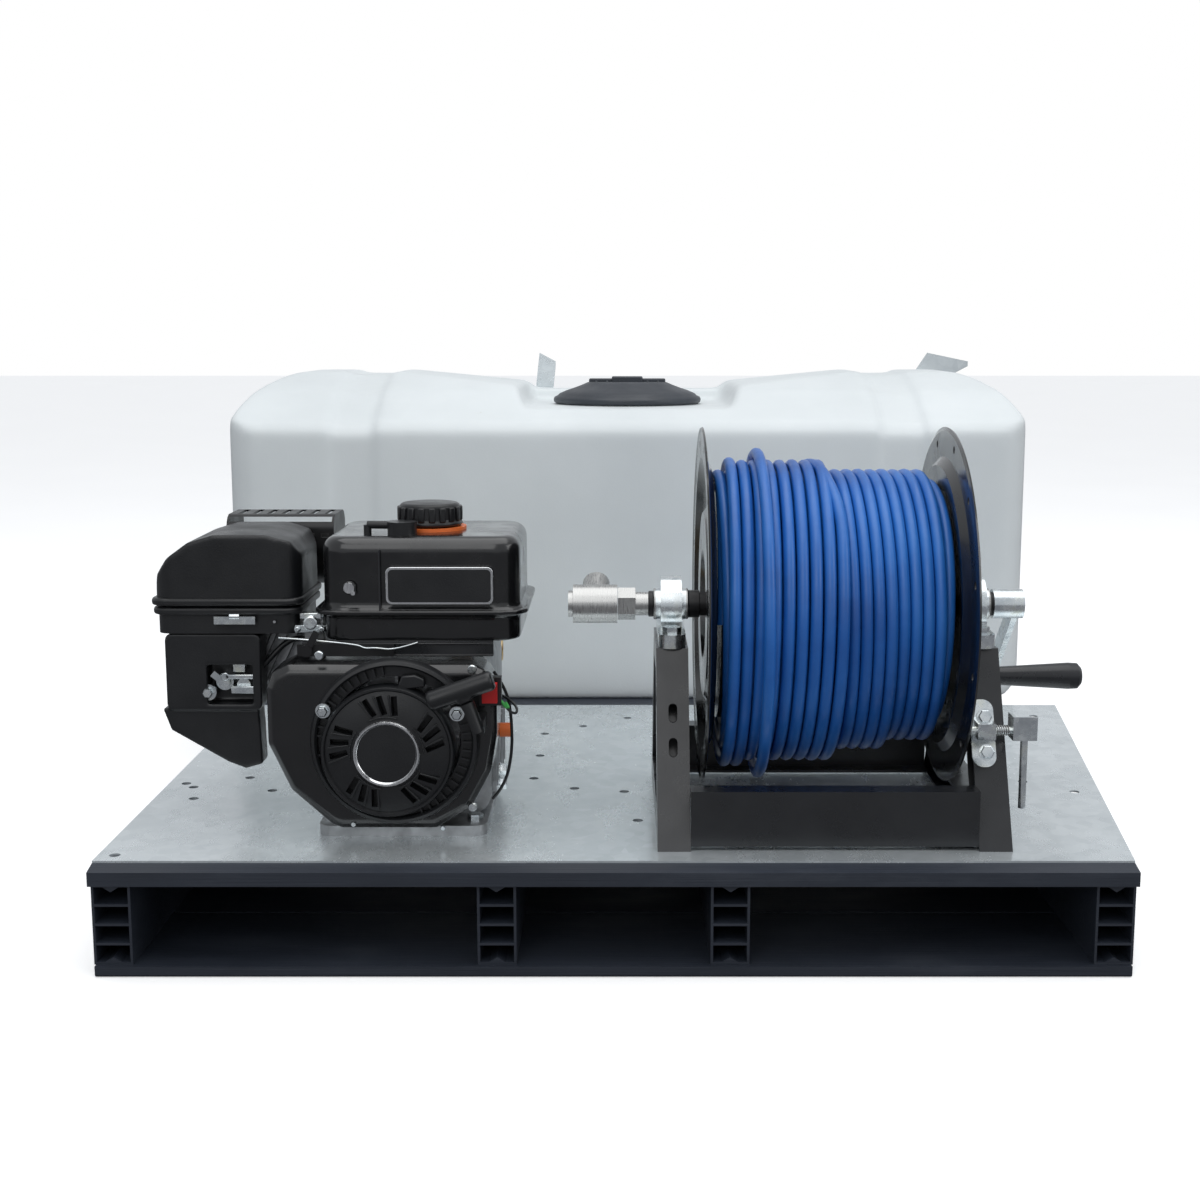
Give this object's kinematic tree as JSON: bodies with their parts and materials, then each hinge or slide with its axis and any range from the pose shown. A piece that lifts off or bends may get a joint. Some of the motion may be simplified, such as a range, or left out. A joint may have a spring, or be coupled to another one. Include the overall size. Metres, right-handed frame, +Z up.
{
  "type": "pressure washer",
  "caption": "Skid-mounted pressure washer: plastic pallet, steel deck, engine with direct-drive pump, hand-cranked hose reel and white water tank.",
  "frame": {"origin": "on the floor at the centre of the pallet", "axes": "+Z up, working side faces -Y, reel towards +X"},
  "size_m": [1.145, 1.2425, 0.586],
  "materials": {
    "pallet_plastic": "extruded, satin",
    "galvanised": "galvanised spangle",
    "tank_plastic": "translucent moulded",
    "lid_plastic": "satin",
    "frame_paint": "satin powder coat",
    "flange_paint": "gloss",
    "zinc": "bright zinc plate",
    "steel": "machined",
    "black_oxide": "satin",
    "hose_jacket": "smooth",
    "grip_plastic": "satin",
    "engine_paint": "gloss",
    "engine_plastic": "satin",
    "cast_alloy": "as cast",
    "chrome": "polished",
    "orange_rubber": "satin",
    "red_plastic": "gloss",
    "brass": "forged"
  },
  "bodies": {
    "frame": {"air_cleaner_base": "engine_plastic", "air_cleaner_case": "engine_plastic", "blower_shroud": "engine_paint", "carburettor": "cast_alloy", "control_plate": "black_oxide", "crankcase": "cast_alloy", "cylinder_head": "cast_alloy", "deck_sheet": "galvanised", "filler_ring": "orange_rubber", "foot_bolts": "zinc", "fuel_tank": "engine_paint", "fuel_valve_body": "zinc", "lock_bracket": "zinc", "lock_spring": "steel", "muffler": "black_oxide", "muffler_shield": "black_oxide", "pallet_bottom_boards": "pallet_plastic", "pallet_runners": "pallet_plastic", "pallet_top_boards": "pallet_plastic", "pillow_block_left": "zinc", "pillow_block_right": "zinc", "pillow_bolts": "zinc", "pump_body": "cast_alloy", "pump_manifold": "brass", "rear_stop_left": "galvanised", "rear_stop_right": "galvanised", "recoil_badge": "chrome", "recoil_cover": "engine_paint", "reel_beam_front": "frame_paint", "reel_beam_rear": "frame_paint", "reel_side_left": "frame_paint", "reel_side_right": "frame_paint", "rope_guide": "engine_plastic", "spark_plug": "grip_plastic", "switch_box": "engine_plastic", "tank_outlet": "grip_plastic", "tank_vent": "engine_plastic", "unloader": "brass", "water_tank": "tank_plastic"},
    "tank_lid": {"tank_lid": "lid_plastic"},
    "reel_drum": {"reel_shaft": "black_oxide", "drum_core": "flange_paint", "reel_flange_left": "flange_paint", "reel_flange_right": "flange_paint", "hose_winding": "hose_jacket", "crank_arm": "zinc", "swivel_nut": "steel"},
    "crank_grip": {"crank_grip": "grip_plastic"},
    "swivel": {"swivel_body": "steel"},
    "lock_screw": {"lock_pin": "zinc"},
    "flywheel": {"flywheel": "cast_alloy"},
    "starter_grip": {"starter_grip": "engine_plastic"},
    "fuel_cap": {"fuel_cap": "engine_plastic"},
    "air_cleaner_cover": {"air_cleaner_cover": "engine_plastic"},
    "cover_latch": {"cover_latch": "zinc"},
    "choke_lever": {"choke_lever": "zinc"},
    "throttle_lever": {"throttle_lever": "black_oxide"},
    "stop_switch": {"stop_switch": "red_plastic"},
    "oil_dipstick": {"oil_dipstick": "orange_rubber"},
    "unloader_knob": {"unloader_knob": "grip_plastic"}
  },
  "joints": [
    {"name": "lid_lift", "type": "slide", "parent": "frame", "child": "tank_lid", "axis": [0, 0, 1], "range_m": [0, 0.06]},
    {"name": "drum_turn", "type": "hinge", "parent": "frame", "child": "reel_drum", "pos_m": [0.22, -0.408, 0.3355], "axis": [1, 0, 0], "continuous": true},
    {"name": "grip_spin", "type": "hinge", "parent": "reel_drum", "child": "crank_grip", "pos_m": [0.47, -0.29976, 0.23456], "axis": [1, 0, 0], "continuous": true},
    {"name": "swivel_turn", "type": "hinge", "parent": "frame", "child": "swivel", "pos_m": [-0.02, -0.408, 0.3355], "axis": [1, 0, 0], "continuous": true},
    {"name": "lock_screw_in", "type": "slide", "parent": "frame", "child": "lock_screw", "axis": [-1, 0, 0], "range_m": [0, 0.004], "deforming": ["lock_spring"]},
    {"name": "flywheel_spin", "type": "hinge", "parent": "frame", "child": "flywheel", "pos_m": [-0.218, -0.4, 0.218], "axis": [0, 1, 0], "continuous": true},
    {"name": "starter_pull", "type": "slide", "parent": "frame", "child": "starter_grip", "axis": [-0.33, 0, 0.944], "range_m": [0, 0.04], "stiffness_N_per_m": 400, "springref_m": -0.01},
    {"name": "fuel_cap_lift", "type": "slide", "parent": "frame", "child": "fuel_cap", "axis": [0, 0, 1], "range_m": [0, 0.05]},
    {"name": "cover_lift", "type": "slide", "parent": "frame", "child": "air_cleaner_cover", "axis": [0, 0, 1], "range_m": [0, 0.07]},
    {"name": "latch_swing", "type": "hinge", "parent": "frame", "child": "cover_latch", "pos_m": [-0.387, -0.4785, 0.334], "axis": [-1, 0, 0], "range_deg": [0, 100]},
    {"name": "choke_turn", "type": "hinge", "parent": "frame", "child": "choke_lever", "pos_m": [-0.404, -0.463, 0.262], "axis": [0, 1, 0], "range_deg": [0, 50]},
    {"name": "throttle_turn", "type": "hinge", "parent": "frame", "child": "throttle_lever", "pos_m": [-0.31, -0.503, 0.303], "axis": [0, 1, 0], "range_deg": [-30, 20]},
    {"name": "switch_rock", "type": "hinge", "parent": "frame", "child": "stop_switch", "pos_m": [-0.122, -0.5492, 0.27], "axis": [-1, 0, 0], "range_deg": [0, 16]},
    {"name": "dipstick_pull", "type": "slide", "parent": "frame", "child": "oil_dipstick", "axis": [1, 0, 0], "range_m": [0, 0.062]},
    {"name": "unloader_turn", "type": "hinge", "parent": "frame", "child": "unloader_knob", "pos_m": [-0.184, -0.172, 0.315], "axis": [0, 0, 1], "range_deg": [0, 720]}
  ]
}
